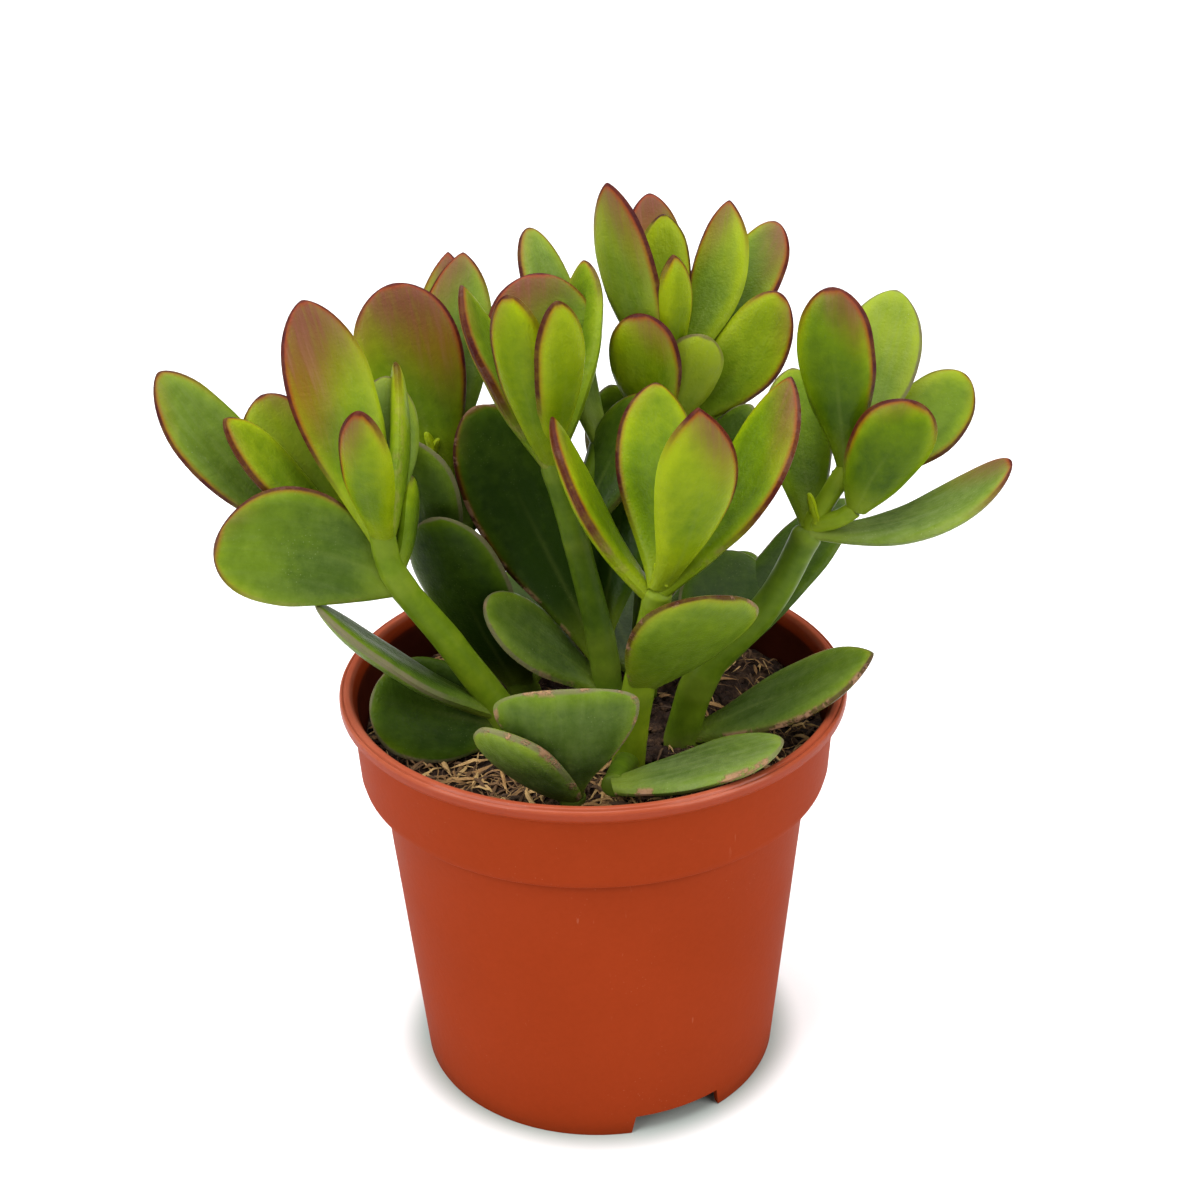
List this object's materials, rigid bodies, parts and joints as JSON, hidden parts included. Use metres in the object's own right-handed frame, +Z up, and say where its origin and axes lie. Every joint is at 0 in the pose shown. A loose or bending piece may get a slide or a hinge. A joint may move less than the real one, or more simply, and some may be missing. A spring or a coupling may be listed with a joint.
{
  "type": "potted jade plant",
  "caption": "Jade plant with thick oval leaves on branching fleshy stems, rooted in soil in a round tapered plastic nursery pot with a rolled rim.",
  "frame": {"origin": "centre of the pot's underside, on the surface that the pot stands on", "axes": "+Z up the pot's axis; -Y towards the front, from which the plant was pictured; +X to the right seen from the front"},
  "size_m": [0.1876, 0.1203, 0.2141],
  "materials": {
    "pot_plastic": "terracotta red-brown moulded plastic, satin",
    "soil": null,
    "jade": null
  },
  "bodies": {
    "root": {"pot": "pot_plastic", "soil": "soil", "stem_left": "jade", "stem_back_left": "jade", "stem_middle": "jade", "stem_front": "jade", "stem_back": "jade", "stem_right": "jade", "stem_low_front": "jade"}
  },
  "joints": []
}
